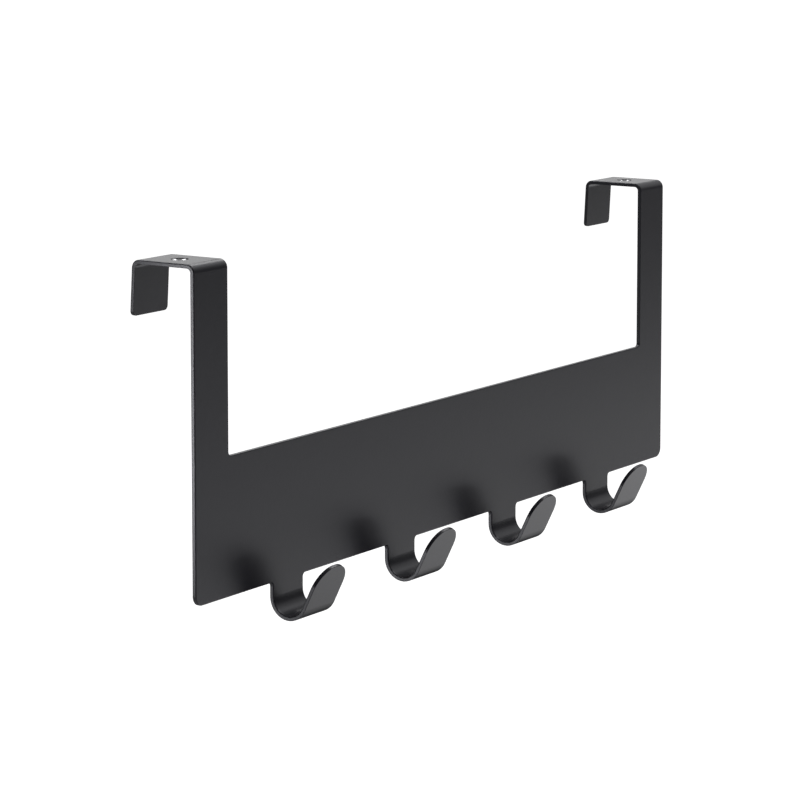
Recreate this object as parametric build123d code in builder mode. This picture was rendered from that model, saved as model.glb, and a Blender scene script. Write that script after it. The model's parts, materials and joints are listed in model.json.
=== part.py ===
"""Over door hook: one sheet steel blank, folded over the door edge, with four hooks bent from its lower edge.

Frame: X runs along the panel from its middle, Y points to the back of the door from the panel's back face,
and Z points up from the door's top edge, where the flanges rest.
"""

import os

from build123d import *

# Driving dimensions, in millimetres and degrees

# Sheet
sheet_thickness = 1.6
edge_radius = 0.4  # rolled edge that blanking leaves on the front, the side that hands and loops touch

# Panel
panel_width = 350.0
panel_height = 53.3
panel_corner_radius = 4.0
notch_radius = 1.6  # inside corners, where straps and hooks leave the panel

# Straps over the door
door_thickness = 25.0
door_clearance = 0.6
strap_width = 20.6
strap_drop = 125.4  # from the door's top edge down to the panel's lower edge
fold_radius = 1.7  # inside radius of both folds
lip_length = 18.0  # straight part of the lip behind the door
lip_splay = 3.1  # lean of the lip away from the door
lip_corner_radius = 1.8

# Countersunk screw holes in the flanges
screw_hole_radius = 2.1
screw_head_radius = 3.5
screw_head_angle = 90.0

# Hooks
hook_count = 4
hook_pitch = 78.0
hook_width = 19.5
hook_drop = 5.5  # straight part below the panel
hook_bend_radius = 6.9  # inside radius of the bend
hook_bend_angle = 154.0
hook_tongue_length = 18.3
hook_tip_flat = 1.2  # straight part left between the two round corners of a tip

# Worked out from the driving dimensions
door_gap = door_thickness + door_clearance
panel_bottom = -strap_drop
panel_top = panel_bottom + panel_height
strap_centre = (panel_width - strap_width) / 2
strap_centres = (-strap_centre, strap_centre)
hook_centres = [hook_pitch * (i - (hook_count - 1) / 2) for i in range(hook_count)]
hook_tip_radius = (hook_width - hook_tip_flat) / 2

length_tolerance = 0.001


def corner_edges(part):
    """Edges straight across the sheet: one at each sharp corner of the blank."""
    lines = part.edges().filter_by(GeomType.LINE)
    return lines.filter_by(lambda edge: abs(edge.length - sheet_thickness) < length_tolerance)


with BuildPart() as door_hanger:
    # Panel, extruded forward from its back face
    with BuildSketch(Plane.XZ):
        with Locations((0, panel_bottom)):
            Rectangle(panel_width, panel_height, align=(Align.CENTER, Align.MIN))
    extrude(amount=sheet_thickness)

    # Straps: the door side of the sheet is drawn, from the panel up, over the door edge and down the lip
    with BuildSketch(*[Plane.YZ.offset(x) for x in strap_centres]):
        with BuildLine():
            rise = Line((0, panel_bottom), (0, -fold_radius))
            front_fold = JernArc(rise @ 1, rise % 1, fold_radius, -90)
            flange = Line(front_fold @ 1, (door_gap - fold_radius, 0))
            rear_fold = JernArc(flange @ 1, flange % 1, fold_radius, lip_splay - 90)
            PolarLine(rear_fold @ 1, lip_length, direction=rear_fold % 1)
            offset(amount=sheet_thickness, side=Side.LEFT)
        make_face()
    extrude(amount=strap_width / 2, both=True)

    # Hooks: the face that carries the load is drawn, from the panel down, round the bend and up the tongue
    with BuildSketch(*[Plane.YZ.offset(x) for x in hook_centres]):
        with BuildLine():
            drop = Line((-sheet_thickness, panel_bottom), (-sheet_thickness, panel_bottom - hook_drop))
            bend = JernArc(drop @ 1, drop % 1, hook_bend_radius, -hook_bend_angle)
            PolarLine(bend @ 1, hook_tongue_length, direction=bend % 1)
            offset(amount=sheet_thickness, side=Side.LEFT)
        make_face()
    extrude(amount=hook_width / 2, both=True)

    # Rounded corners of the blank: lips, hook tips, the panel's lower corners, then the inside corners
    fillet(corner_edges(door_hanger).filter_by(lambda e: e.center().Y > 0), lip_corner_radius)
    fillet(corner_edges(door_hanger).filter_by(lambda e: e.center().Y < -sheet_thickness), hook_tip_radius)
    fillet(corner_edges(door_hanger).filter_by(lambda e: abs(e.center().X) > strap_centre), panel_corner_radius)
    fillet(corner_edges(door_hanger).filter_by(lambda e: abs(e.center().X) < strap_centre), notch_radius)

    # Rolled edge: with every corner round, a fillet begun on the panel's upper front edge runs on round the
    # front's whole outline, over the folds and round the hooks
    panel_upper_front = (0, -sheet_thickness, panel_top)
    fillet(door_hanger.edges().sort_by_distance(panel_upper_front)[0], edge_radius)

    # Screw holes, sunk from the top of each flange
    with Locations(*[(x, door_gap / 2, sheet_thickness) for x in strap_centres]):
        CounterSinkHole(screw_hole_radius, screw_head_radius, counter_sink_angle=screw_head_angle)

door_hanger.part.label = "door_hanger"

os.makedirs("parts", exist_ok=True)
export_step(door_hanger.part, "parts/door_hanger.step")
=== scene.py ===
# %% [markdown]
# # Over door hook in satin black powder coat
#
# The object is one piece of sheet steel. It is cut flat, folded over the top of a door, and coated
# with black powder that is baked into a satin skin. The solid already has the true folds, hooks and
# rolled edges, so this lesson doesn't remodel it. It sets up the camera, the studio and the finish.
# On a black object that is most of the work, because almost everything that the eye reads there is
# a reflection.

# %% Load the frame
import json
import math

import bmesh
import bpy
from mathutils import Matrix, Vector


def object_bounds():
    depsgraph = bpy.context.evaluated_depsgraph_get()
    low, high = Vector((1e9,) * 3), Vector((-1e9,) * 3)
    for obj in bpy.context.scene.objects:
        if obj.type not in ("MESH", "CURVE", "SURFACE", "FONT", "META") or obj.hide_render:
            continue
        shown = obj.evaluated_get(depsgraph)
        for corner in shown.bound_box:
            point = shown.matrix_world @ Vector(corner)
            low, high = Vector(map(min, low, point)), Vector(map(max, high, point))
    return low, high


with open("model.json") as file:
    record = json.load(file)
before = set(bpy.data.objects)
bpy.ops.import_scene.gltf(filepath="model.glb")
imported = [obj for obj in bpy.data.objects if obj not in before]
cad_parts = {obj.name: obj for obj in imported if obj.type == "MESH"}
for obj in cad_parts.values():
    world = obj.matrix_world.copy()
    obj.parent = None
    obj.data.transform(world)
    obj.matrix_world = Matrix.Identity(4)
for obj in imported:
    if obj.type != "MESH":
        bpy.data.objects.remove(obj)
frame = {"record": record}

mm_per_metre = 1000.0

cad_low, cad_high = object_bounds()
centre = (cad_low + cad_high) / 2
hanger = bpy.data.objects["door_hanger"]
print("hanger box in mm:", [round(mm_per_metre * v, 1) for v in cad_high - cad_low])
print("triangles:", len(hanger.data.polygons))

# %% [markdown]
# ## The camera
#
# The photograph was taken from the left and from a little above, with a long lens: the far strap is
# only slightly smaller than the near one. Its upright straps stay upright, so the camera looked
# almost straight ahead and the picture was slid down a little, as a shift lens does. Tipping the
# camera down instead would pull the straps together towards the bottom.
#
# The camera is placed on a sphere round a point near the object, so that its place is an angle
# round, an angle up and a distance.

# %% Camera
camera_azimuth = math.radians(-56.29)
camera_elevation = math.radians(6.44)
camera_distance = 1.2693
camera_aim = centre + Vector((-0.0348, 0.0, 0.0808))
camera_sensor_mm = 36.0
camera_lens_mm = 143.03
camera_slide = -0.25

camera_back = Vector((
    math.sin(camera_azimuth) * math.cos(camera_elevation),
    -math.cos(camera_azimuth) * math.cos(camera_elevation),
    math.sin(camera_elevation),
))
camera_data = bpy.data.cameras.new("photo_camera")
camera_data.sensor_width = camera_sensor_mm
camera_data.lens = camera_lens_mm
camera_data.shift_y = camera_slide
camera = bpy.data.objects.new("photo_camera", camera_data)
camera.location = camera_aim + camera_back * camera_distance
camera.rotation_euler = (-camera_back).to_track_quat("-Z", "Y").to_euler()
bpy.context.scene.collection.objects.link(camera)
bpy.context.scene.camera = camera
print("camera at", [round(v, 3) for v in camera.location])

# %% [markdown]
# ## The paper sweep
#
# A product studio puts the object in front of a roll of white paper that hangs down, curves forward
# and runs on as the floor. It could be a plane and a wall, but the curve leaves no line where the
# two meet. The sweep faces the camera, and its floor lies well below the hooks, because the rack
# hangs in the air on its door.
#
# It starts as a plane. The far edge is extruded up into a wall, and a wide bevel rounds the crease.

# %% Sweep shape
floor_drop = 0.35
paper_half_width = 2.15
paper_front = 2.0
paper_back = 4.0
wall_height = 1.8
wall_curve = 0.9
wall_curve_segments = 16


def select_points(piece, wanted):
    """In edit mode, selects the points that pass a test, with the edges between them."""
    bpy.ops.object.mode_set(mode="EDIT")
    bpy.ops.mesh.select_mode(type="VERT")
    bpy.ops.mesh.select_all(action="DESELECT")
    mesh = bmesh.from_edit_mesh(piece.data)
    for point in mesh.verts:
        point.select = wanted(point.co)
    mesh.select_flush(True)
    bmesh.update_edit_mesh(piece.data)


bpy.ops.object.select_all(action="DESELECT")
bpy.ops.mesh.primitive_plane_add(size=1.0, location=(0.0, (paper_back - paper_front) / 2, 0.0))
sweep = bpy.context.object
sweep.name = "paper_sweep"
sweep.scale = (2 * paper_half_width, paper_back + paper_front, 1.0)
bpy.ops.object.transform_apply(location=True, rotation=False, scale=True)

select_points(sweep, lambda place: place.y > 0)
bpy.ops.mesh.extrude_region_move(TRANSFORM_OT_translate={"value": (0.0, 0.0, wall_height)})
select_points(sweep, lambda place: place.y > 0 and place.z < wall_height / 2)
bpy.ops.mesh.bevel(offset=wall_curve, segments=wall_curve_segments)
bpy.ops.object.mode_set(mode="OBJECT")
bpy.ops.object.shade_smooth()

sweep.location = (centre.x, centre.y, cad_low.z - floor_drop)
sweep.rotation_euler = (0.0, 0.0, camera_azimuth)
print("sweep:", len(sweep.data.polygons), "faces")
print("floor:", round(mm_per_metre * floor_drop), "mm below the hooks")

# %% [markdown]
# ## Helpers for node trees
#
# Every look below is a tree of nodes. These functions empty a tree, add one node at a time and wire
# it up, so that the later cells read like sums.

# %% Helpers for node trees
def new_tree(owner):
    """Empties a material's or world's node tree and gives it back."""
    owner.use_nodes = True
    owner.node_tree.nodes.clear()
    return owner.node_tree


def add_node(tree, kind, **settings):
    """Adds a node and sets its properties."""
    node = tree.nodes.new(kind)
    for name, value in settings.items():
        setattr(node, name, value)
    return node


def feed(tree, value, socket):
    """Gives an input another node's output, or a plain value."""
    if isinstance(value, bpy.types.NodeSocket):
        tree.links.new(value, socket)
    else:
        socket.default_value = value


def math_node(tree, operation, first, second=0.0):
    """Adds a Math node."""
    node = add_node(tree, "ShaderNodeMath", operation=operation)
    feed(tree, first, node.inputs[0])
    feed(tree, second, node.inputs[1])
    return node.outputs[0]


def mix_node(tree, kind, factor, first, second):
    """Adds a Mix node of kind FLOAT or RGBA. Each kind has its own sockets, and only they are on."""
    node = add_node(tree, "ShaderNodeMix", data_type=kind)
    sockets = [socket for socket in node.inputs if socket.enabled]
    for socket, value in zip(sockets, (factor, first, second)):
        feed(tree, value, socket)
    return [socket for socket in node.outputs if socket.enabled][0]


def ramp_node(tree, value, start, end, low, high):
    """Adds a smooth Map Range node: low at the start, high at the end."""
    node = add_node(tree, "ShaderNodeMapRange", interpolation_type="SMOOTHSTEP")
    tree.links.new(value, node.inputs["Value"])
    for name, number in (("From Min", start), ("From Max", end), ("To Min", low), ("To Max", high)):
        node.inputs[name].default_value = number
    return node.outputs["Result"]


def distance_node(tree, place, point):
    """Adds a node that measures how far a place is from a fixed point."""
    node = add_node(tree, "ShaderNodeVectorMath", operation="DISTANCE")
    tree.links.new(place, node.inputs[0])
    node.inputs[1].default_value = point
    return node.outputs["Value"]


print("helpers ready")

# %% [markdown]
# ## White paper
#
# The camera has to see plain white paper. Turning the lamps up would bleach the object too, so the
# paper glows a little instead, and only for the rays that look at it: the Light Path node knows
# whether a ray comes from the camera, from gloss or through glass. The light that falls on the
# object stays plain, and the paper still takes its shadow.
#
# The glow makes up for the lamps, which light the paper less and less away from the object. What
# gloss sees is painted light and shade, uneven as in a real studio: a painted pool of light on the
# floor to the right, painted glow that is brightest far off and fades a little on the wall, and
# painted shade on the floor behind the hooks, where the paper's colour turns dark for gloss. Without
# the painted shade the undersides of the hooks would shine, and the round of their bends would be
# lost.

# %% Paper material
paper_white = (0.86, 0.86, 0.86, 1.0)
sweep_middle = (0.0, 0.0, 0.0)
camera_glow_reach = (0.4, 2.2)
camera_glow = (0.35, 0.9)
# Painted light that only gloss sees: glow far off, a slight fade on the wall and a pool of glow to the
# right.
gloss_glow_reach = (1.5, 2.1)
gloss_glow = (0.05, 1.0)
wall_fade_reach = (2.8, 3.6)
wall_fade = (1.0, 0.9)
pool_centre = (0.62, 0.52, 0.0)
pool_reach = (0.35, 0.65)
pool_glow = (1.0, 0.0)
# Painted shade for gloss rays: round this point behind the hooks, the paper's colour is mixed to dark
# grey and its glow fades out.
shade_centre = (-0.15, 0.75, 0.0)
shade_reach = (0.35, 0.95)
painted_shade_grey = (0.03, 0.03, 0.03, 1.0)

paper = bpy.data.materials.new("white_paper")
tree = new_tree(paper)
place = add_node(tree, "ShaderNodeTexCoord").outputs["Object"]
reach = distance_node(tree, place, sweep_middle)
path = add_node(tree, "ShaderNodeLightPath")

seen = ramp_node(tree, reach, *camera_glow_reach, *camera_glow)
for_camera = math_node(tree, "MULTIPLY", path.outputs["Is Camera Ray"], seen)

# Painted light for gloss rays: glow by distance from the middle, plus a painted pool of glow.
far_paper = ramp_node(tree, reach, *gloss_glow_reach, *gloss_glow)
faded = math_node(tree, "MULTIPLY", far_paper, ramp_node(tree, reach, *wall_fade_reach, *wall_fade))
pool = ramp_node(tree, distance_node(tree, place, pool_centre), *pool_reach, *pool_glow)
# Painted shade: open_floor falls to 0 round the shade centre, and gloss sees the paper dark there.
open_floor = ramp_node(tree, distance_node(tree, place, shade_centre), *shade_reach, 0.0, 1.0)
mirrored = math_node(tree, "MULTIPLY", math_node(tree, "ADD", faded, pool), open_floor)
mirror = math_node(tree, "MAXIMUM", path.outputs["Is Glossy Ray"], path.outputs["Is Transmission Ray"])
for_gloss = math_node(tree, "MULTIPLY", mirror, mirrored)
in_painted_shade = math_node(tree, "MULTIPLY", mirror, math_node(tree, "SUBTRACT", 1.0, open_floor))

sheet = add_node(tree, "ShaderNodeBsdfDiffuse")
feed(tree, mix_node(tree, "RGBA", in_painted_shade, paper_white, painted_shade_grey), sheet.inputs["Color"])
glow = add_node(tree, "ShaderNodeEmission")
feed(tree, math_node(tree, "ADD", for_camera, for_gloss), glow.inputs["Strength"])
both = add_node(tree, "ShaderNodeAddShader")
tree.links.new(sheet.outputs[0], both.inputs[0])
tree.links.new(glow.outputs[0], both.inputs[1])
output = add_node(tree, "ShaderNodeOutputMaterial")
tree.links.new(both.outputs[0], output.inputs["Surface"])
sweep.data.materials.append(paper)
print("paper on", sweep.name)

# %% [markdown]
# ## The dim room
#
# Round the paper there is only an even, dim room, which fills the shadows a little. The camera sees
# it as white, so that no end of the paper shows.

# %% World
room_white = (1.0, 1.0, 1.0, 1.0)
room_level = 0.2

world = bpy.data.worlds.new("dim_room")
bpy.context.scene.world = world
tree = new_tree(world)
background = add_node(tree, "ShaderNodeBackground")
background.inputs["Color"].default_value = room_white
path = add_node(tree, "ShaderNodeLightPath")
level = math_node(tree, "MAXIMUM", path.outputs["Is Camera Ray"], room_level)
tree.links.new(level, background.inputs["Strength"])
output = add_node(tree, "ShaderNodeOutputWorld")
tree.links.new(background.outputs[0], output.inputs["Surface"])
print("room level", room_level)

# %% [markdown]
# ## The lamps
#
# Two softboxes hang above the object, to the camera's left and right. They light the paper, and
# they are small and bright, so that the screw sinks and the rolled upper edges get a glint. A
# larger, weaker one hangs behind the object and shows along the folds, and to the right of it a
# pale screen shows as a soft light in the insides of the hooks.
#
# Two narrow strips stand close to the object on its left, with a grid in front of them (the lamp's
# spread). They are there for the cut edges that face left: one draws the bright line that sets the
# near strap off from the white, and a weaker one picks out the edges of the hooks.

# %% Lamps
def add_softbox(name, place, target, width, height, radiance, spread=180.0):
    """An area lamp turned to a target. The camera doesn't see it, gloss does."""
    lamp = bpy.data.lights.new(name, "AREA")
    lamp.shape = "RECTANGLE"
    lamp.size = width
    lamp.size_y = height
    lamp.energy = radiance * math.pi * width * height
    lamp.spread = math.radians(spread)
    box = bpy.data.objects.new(name, lamp)
    box.location = place
    box.rotation_euler = (Vector(target) - Vector(place)).to_track_quat("-Z", "Y").to_euler()
    box.visible_camera = False
    bpy.context.scene.collection.objects.link(box)


# Square softboxes: name, direction from the object, width, radiance
softbox_distance = 1.6
softboxes = (
    ("right_softbox", (0.45, -0.32, 0.83), 0.35, 18.0),
    ("left_softbox", (-0.12, 0.54, 0.83), 0.35, 18.0),
    ("side_softbox", (0.57, 0.32, 0.76), 1.0, 2.8),
    ("side_screen", (0.8, -0.2, 0.56), 1.16, 0.45),
)
for name, direction, width, radiance in softboxes:
    add_softbox(name, centre + softbox_distance * Vector(direction), centre, width, width, radiance)

# Strips: name, target, direction from the target, distance, width, height, radiance
grid_spread = 28.0
strap_target = Vector((cad_low.x, 0.0, -0.04))
hook_target = Vector((0.0, -0.0085, -0.13))
strips = (
    ("strap_strip", strap_target, (-0.81, 0.556, -0.189), 0.25, 0.03, 0.15, 0.5),
    ("hook_strip", hook_target, (-0.824, 0.524, -0.216), 0.3, 0.14, 0.05, 0.13),
)
for name, target, direction, distance, width, height, radiance in strips:
    add_softbox(name, target + distance * Vector(direction), target, width, height, radiance, grid_spread)

# %% [markdown]
# ## Powder coat
#
# Baked powder isn't as smooth as paint. It flows together into a fine orange peel, a few hundredths
# of a millimetre deep, that shows mostly where a face is seen at a flat angle, as on the tops of
# the flanges. The peel is made from two noises, one for the grain and one for the slower waves, and
# it feeds a Bump node. The same noises shift the roughness a little, so that the sheen isn't dead
# even.

# %% Powder grain group
grain_settings = (("Grain Size", 0.0011), ("Wave Size", 0.0035), ("Roughness", 0.3), ("Wander", 0.05))
grain_detail = 2.0
wave_detail = 1.0
wave_share = 0.4
noise_middle = 0.5


def powder_grain_group():
    """Height of the orange peel, and a roughness that wanders with it."""
    group = bpy.data.node_groups.new("powder_grain", "ShaderNodeTree")
    face = group.interface
    face.new_socket("Vector", in_out="INPUT", socket_type="NodeSocketVector")
    for name, value in grain_settings:
        socket = face.new_socket(name, in_out="INPUT", socket_type="NodeSocketFloat")
        socket.default_value = value
    face.new_socket("Height", in_out="OUTPUT", socket_type="NodeSocketFloat")
    face.new_socket("Roughness", in_out="OUTPUT", socket_type="NodeSocketFloat")
    inside = add_node(group, "NodeGroupInput")
    outside = add_node(group, "NodeGroupOutput")

    def noise_of_size(size_name, detail):
        noise = add_node(group, "ShaderNodeTexNoise")
        noise.inputs["Detail"].default_value = detail
        group.links.new(inside.outputs["Vector"], noise.inputs["Vector"])
        group.links.new(math_node(group, "DIVIDE", 1.0, inside.outputs[size_name]), noise.inputs["Scale"])
        return noise.outputs["Fac"]

    grain = noise_of_size("Grain Size", grain_detail)
    wave = noise_of_size("Wave Size", wave_detail)
    height = mix_node(group, "FLOAT", wave_share, grain, wave)
    group.links.new(height, outside.inputs["Height"])

    shift = math_node(group, "SUBTRACT", height, noise_middle)
    change = math_node(group, "MULTIPLY", shift, inside.outputs["Wander"])
    roughness = math_node(group, "ADD", change, inside.outputs["Roughness"])
    group.links.new(roughness, outside.inputs["Roughness"])
    return group


powder_grain = powder_grain_group()
print("group", powder_grain.name, "with", len(powder_grain.nodes), "nodes")

# %% [markdown]
# ## Coated edges
#
# The solid's back edges are sharp, but no coated edge is: powder draws back from an edge as it
# melts and leaves a thin, smooth, rounded line. A Bevel node gives the normal that a small round
# would have, without any new faces. Where that normal leaves the face's own one there is an edge,
# and the difference makes a mask for the smoother coat there.

# %% Coated edge group
edge_width = 0.0004
edge_samples = 6
edge_match, face_match = 0.8, 0.99


def coated_edge_group():
    """Normal of a rounded edge, and a mask that is 1 on it."""
    group = bpy.data.node_groups.new("coated_edge", "ShaderNodeTree")
    face = group.interface
    width = face.new_socket("Width", in_out="INPUT", socket_type="NodeSocketFloat")
    width.default_value = edge_width
    face.new_socket("Normal", in_out="OUTPUT", socket_type="NodeSocketVector")
    face.new_socket("Mask", in_out="OUTPUT", socket_type="NodeSocketFloat")
    inside = add_node(group, "NodeGroupInput")
    outside = add_node(group, "NodeGroupOutput")

    rounded = add_node(group, "ShaderNodeBevel", samples=edge_samples)
    group.links.new(inside.outputs["Width"], rounded.inputs["Radius"])
    group.links.new(rounded.outputs["Normal"], outside.inputs["Normal"])
    flat = add_node(group, "ShaderNodeNewGeometry")
    match = add_node(group, "ShaderNodeVectorMath", operation="DOT_PRODUCT")
    group.links.new(rounded.outputs["Normal"], match.inputs[0])
    group.links.new(flat.outputs["Normal"], match.inputs[1])
    mask = ramp_node(group, match.outputs["Value"], edge_match, face_match, 1.0, 0.0)
    group.links.new(mask, outside.inputs["Mask"])
    return group


coated_edge = coated_edge_group()
print("group", coated_edge.name, "with", len(coated_edge.nodes), "nodes")

# %% [markdown]
# ## Bare sinks
#
# The screw holes look as if they were sunk after coating: their cones are bare steel, with a ragged
# rim of coat left round them. The mask is a distance from each hole's middle, with some noise added
# to it. Both holes share one sum, because they mirror each other. Where they are is told by the
# frame's record.

# %% Bare sink group
screws = next(mount for mount in frame["record"]["mounts"] if mount["name"] == "flange_screws")
hole_x = screws["dims"]["spacing_x_mm"] / 2 / mm_per_metre
hole_y = screws["pos_m"][1]
sink_radius = 0.0031
rim_noise_scale = 1500.0
rim_raggedness = 0.0008
rim_softness = 0.0001
sink_low, sink_high = 0.00002, 0.0001


def bare_sink_group():
    """A mask that is 1 inside the two screw sinks."""
    group = bpy.data.node_groups.new("bare_sink", "ShaderNodeTree")
    face = group.interface
    face.new_socket("Vector", in_out="INPUT", socket_type="NodeSocketVector")
    radius = face.new_socket("Radius", in_out="INPUT", socket_type="NodeSocketFloat")
    radius.default_value = sink_radius
    face.new_socket("Mask", in_out="OUTPUT", socket_type="NodeSocketFloat")
    inside = add_node(group, "NodeGroupInput")
    outside = add_node(group, "NodeGroupOutput")

    axes = add_node(group, "ShaderNodeSeparateXYZ")
    group.links.new(inside.outputs["Vector"], axes.inputs[0])
    along = math_node(group, "ABSOLUTE", axes.outputs["X"])
    flat = add_node(group, "ShaderNodeCombineXYZ")
    group.links.new(along, flat.inputs["X"])
    group.links.new(axes.outputs["Y"], flat.inputs["Y"])
    reach = distance_node(group, flat.outputs[0], (hole_x, hole_y, 0.0))

    noise = add_node(group, "ShaderNodeTexNoise")
    noise.inputs["Scale"].default_value = rim_noise_scale
    group.links.new(inside.outputs["Vector"], noise.inputs["Vector"])
    swing = math_node(group, "SUBTRACT", noise.outputs["Fac"], noise_middle)
    ragged_reach = math_node(group, "ADD", reach, math_node(group, "MULTIPLY", swing, rim_raggedness))
    left_over = math_node(group, "SUBTRACT", inside.outputs["Radius"], ragged_reach)
    in_ring = ramp_node(group, left_over, 0.0, rim_softness, 0.0, 1.0)
    above = ramp_node(group, axes.outputs["Z"], sink_low, sink_high, 0.0, 1.0)
    group.links.new(math_node(group, "MULTIPLY", in_ring, above), outside.inputs["Mask"])
    return group


bare_sink = bare_sink_group()
print("group", bare_sink.name, "with", len(bare_sink.nodes), "nodes")

# %% [markdown]
# ## The coat put together
#
# One Principled shader carries the whole finish. Its base is almost black with a touch of blue, and
# the reflections do the rest. The edge mask makes the coat smoother and a little lighter along the
# edges, and the sink mask turns it to bare steel. The peel goes in as bump, on top of the rounded
# normals.

# %% Powder coat material
coat_black = (0.0026, 0.0026, 0.0065, 1.0)
coat_ior = 1.52
edge_black = (0.0045, 0.0045, 0.0075, 1.0)
edge_roughness = 0.17
reflection_tint = (0.94, 0.94, 1.0, 1.0)
steel = (0.55, 0.55, 0.56, 1.0)
steel_roughness = 0.3
peel_depth = 0.000025

coat = bpy.data.materials.new("powder_coat_satin")
tree = new_tree(coat)
shader = add_node(tree, "ShaderNodeBsdfPrincipled")
shader.inputs["IOR"].default_value = coat_ior
shader.inputs["Specular Tint"].default_value = reflection_tint
output = add_node(tree, "ShaderNodeOutputMaterial")
tree.links.new(shader.outputs[0], output.inputs["Surface"])

place = add_node(tree, "ShaderNodeTexCoord").outputs["Object"]
grain = add_node(tree, "ShaderNodeGroup", node_tree=powder_grain)
tree.links.new(place, grain.inputs["Vector"])
edge = add_node(tree, "ShaderNodeGroup", node_tree=coated_edge)
sink = add_node(tree, "ShaderNodeGroup", node_tree=bare_sink)
tree.links.new(place, sink.inputs["Vector"])

on_edge = edge.outputs["Mask"]
bare = sink.outputs["Mask"]
colour = mix_node(tree, "RGBA", on_edge, coat_black, edge_black)
roughness = mix_node(tree, "FLOAT", on_edge, grain.outputs["Roughness"], edge_roughness)
feed(tree, mix_node(tree, "RGBA", bare, colour, steel), shader.inputs["Base Color"])
feed(tree, mix_node(tree, "FLOAT", bare, roughness, steel_roughness), shader.inputs["Roughness"])
feed(tree, bare, shader.inputs["Metallic"])

bump = add_node(tree, "ShaderNodeBump")
bump.inputs["Distance"].default_value = peel_depth
tree.links.new(grain.outputs["Height"], bump.inputs["Height"])
tree.links.new(edge.outputs["Normal"], bump.inputs["Normal"])
tree.links.new(bump.outputs[0], shader.inputs["Normal"])

for slot in hanger.material_slots:
    slot.material = coat
print("coat on", hanger.name)

# %% [markdown]
# ## Finish
#
# The view transform is the plain one, so that colours come out about as they are written.

# %% Finish
bpy.context.scene.view_settings.view_transform = "Standard"
